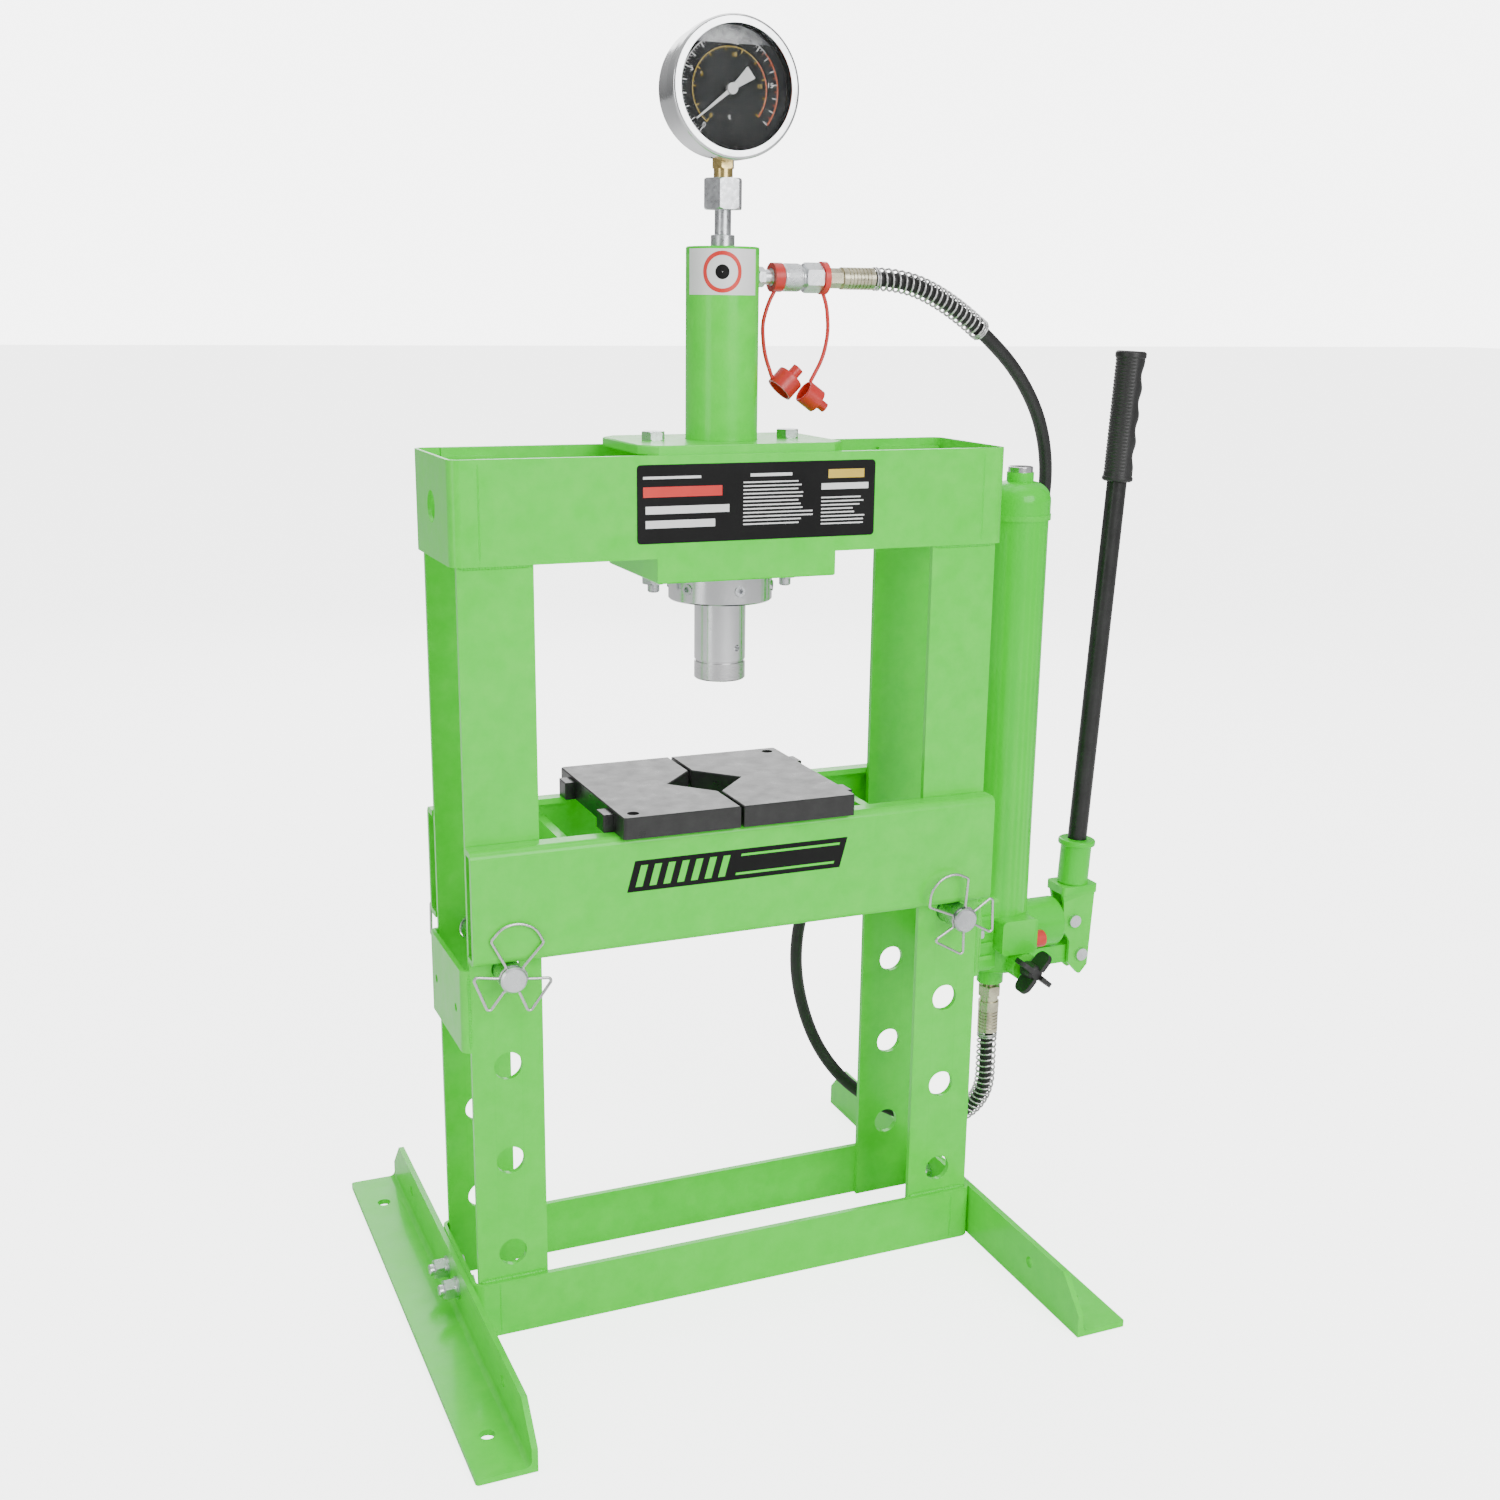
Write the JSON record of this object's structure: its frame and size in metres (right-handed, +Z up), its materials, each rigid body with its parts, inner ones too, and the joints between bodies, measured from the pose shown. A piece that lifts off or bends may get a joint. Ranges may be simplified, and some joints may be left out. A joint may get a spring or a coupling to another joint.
{
  "type": "hydraulic shop press",
  "caption": "Bench-top H-frame hydraulic press: a hand pump feeds a hose to a ram cylinder above a pinned bed with notched arbor plates and a pressure gauge.",
  "frame": {"origin": "centre of the four foot-bolt holes, on the plane that the feet stand on", "axes": "+X to the operator's right, towards the pump; +Y away from the operator; +Z up along the ram's axis"},
  "size_m": [0.6959, 0.492, 1.0605],
  "materials": {
    "green_paint": "gloss",
    "zinc": "satin",
    "chrome": "polished",
    "dark_steel": "satin",
    "spring_steel": "bright",
    "yellow_zinc": "satin",
    "brass": "satin",
    "black_cast": "satin paint",
    "black_metal": "semi-gloss",
    "dial": "matte",
    "needle": "matte",
    "glass": "clear",
    "black_plastic": "matte",
    "rubber": "matte",
    "red_rubber": "matte"
  },
  "bodies": {
    "frame": {"header_plates": "green_paint", "header_ends": "green_paint", "base_plates": "green_paint", "base_ends": "green_paint", "uprights_left": "green_paint", "uprights_right": "green_paint", "side_braces": "green_paint", "foot_left": "green_paint", "foot_right": "green_paint", "foot_bolts": "zinc", "head_top_plate": "green_paint", "head_bottom_plate": "green_paint", "head_bolts": "zinc", "cylinder_tube": "green_paint", "cylinder_cap": "green_paint", "cylinder_collar": "chrome", "collar_screws": "zinc", "ram_guide": "brass", "return_spring": "spring_steel", "gauge_stem": "zinc", "gauge_adapter": "brass", "gauge_case": "chrome", "gauge_bezel": "chrome", "gauge_lens": "glass", "gauge_dial": "dial", "gauge_movement": "brass", "pump_body": "green_paint", "pump_reservoir": "green_paint", "filler_plug": "chrome", "check_balls": "spring_steel", "pump_bolts": "zinc", "relief_cap": "red_rubber", "hose_end_fittings": "yellow_zinc", "port_nipple": "zinc", "coupler_sleeve": "chrome", "hose_coupler": "chrome", "hose": "rubber", "spring_guards": "spring_steel"},
    "bed": {"bed_rail_front": "green_paint", "bed_rail_rear": "green_paint", "bed_spacers": "green_paint"},
    "plate_left": {"arbor_plate_left": "black_cast"},
    "plate_right": {"arbor_plate_right": "black_cast"},
    "pin_left": {"bed_pin_left": "chrome"},
    "pin_right": {"bed_pin_right": "chrome"},
    "clip_left_front": {"pin_clip_left_front": "spring_steel"},
    "clip_left_rear": {"pin_clip_left_rear": "spring_steel"},
    "clip_right_front": {"pin_clip_right_front": "spring_steel"},
    "clip_right_rear": {"pin_clip_right_rear": "spring_steel"},
    "ram": {"ram": "chrome", "ram_nose": "dark_steel"},
    "needle": {"gauge_needle": "needle"},
    "lever": {"lever_yoke": "green_paint", "lever_pins": "zinc"},
    "plunger": {"pump_plunger": "spring_steel"},
    "handle": {"handle_rod": "black_metal", "handle_grip": "black_plastic"},
    "release_valve": {"release_knob": "black_plastic"},
    "cap_left": {"dust_cap_left": "red_rubber"},
    "cap_right": {"dust_cap_right": "red_rubber"}
  },
  "joints": [
    {"name": "bed_lift", "type": "slide", "parent": "frame", "child": "bed", "axis": [0, 0, 1], "range_m": [0, 0.01]},
    {"name": "plate_left_slide", "type": "slide", "parent": "bed", "child": "plate_left", "axis": [-1, 0, 0], "range_m": [0, 0.04]},
    {"name": "plate_right_slide", "type": "slide", "parent": "bed", "child": "plate_right", "axis": [1, 0, 0], "range_m": [0, 0.04]},
    {"name": "pin_left_slide", "type": "slide", "parent": "frame", "child": "pin_left", "axis": [0, 1, 0], "range_m": [-0.009, 0.001]},
    {"name": "pin_right_slide", "type": "slide", "parent": "frame", "child": "pin_right", "axis": [0, 1, 0], "range_m": [-0.003, 0.007]},
    {"name": "clip_left_front_turn", "type": "hinge", "parent": "pin_left", "child": "clip_left_front", "pos_m": [-0.203, -0.077, 0.3283], "axis": [0, 1, 0], "continuous": true},
    {"name": "clip_left_rear_turn", "type": "hinge", "parent": "pin_left", "child": "clip_left_rear", "pos_m": [-0.203, 0.085, 0.3283], "axis": [0, 1, 0], "continuous": true},
    {"name": "clip_right_front_turn", "type": "hinge", "parent": "pin_right", "child": "clip_right_front", "pos_m": [0.203, -0.083, 0.3283], "axis": [0, 1, 0], "continuous": true},
    {"name": "clip_right_rear_turn", "type": "hinge", "parent": "pin_right", "child": "clip_right_rear", "pos_m": [0.203, 0.079, 0.3283], "axis": [0, 1, 0], "continuous": true},
    {"name": "ram_slide", "type": "slide", "parent": "frame", "child": "ram", "axis": [0, 0, -1], "range_m": [0, 0.078], "stiffness_N_per_m": 1500, "springref_m": -0.05, "deforming": ["return_spring"]},
    {"name": "needle_turn", "type": "hinge", "parent": "frame", "child": "needle", "pos_m": [0.003, -0.015, 1.008], "axis": [0, 1, 0], "range_deg": [0, 270], "stiffness_Nm_per_rad": 0.002},
    {"name": "lever_swing", "type": "hinge", "parent": "frame", "child": "lever", "pos_m": [0.3752, 0, 0.2476], "axis": [0, 1, 0], "range_deg": [0, 40]},
    {"name": "plunger_stroke", "type": "slide", "parent": "frame", "child": "plunger", "axis": [1, 0, 0], "range_m": [0, 0.0248]},
    {"name": "handle_lift", "type": "slide", "parent": "lever", "child": "handle", "axis": [0.0548, 0, 0.9985], "range_m": [0, 0.04]},
    {"name": "release_turn", "type": "hinge", "parent": "frame", "child": "release_valve", "pos_m": [0.295, -0.045, 0.2555], "axis": [0, -1, 0], "range_deg": [0, 360]},
    {"name": "cap_left_swing", "type": "hinge", "parent": "frame", "child": "cap_left", "pos_m": [0.0495, 0, 0.8694], "axis": [1, 0, 0], "range_deg": [-25, 25]},
    {"name": "cap_right_swing", "type": "hinge", "parent": "frame", "child": "cap_right", "pos_m": [0.0912, 0, 0.8694], "axis": [1, 0, 0], "range_deg": [-25, 25]}
  ],
  "couplings": [
    {"joint": "plunger_stroke", "follows": "lever_swing", "m_per_rad": 0.0354}
  ]
}
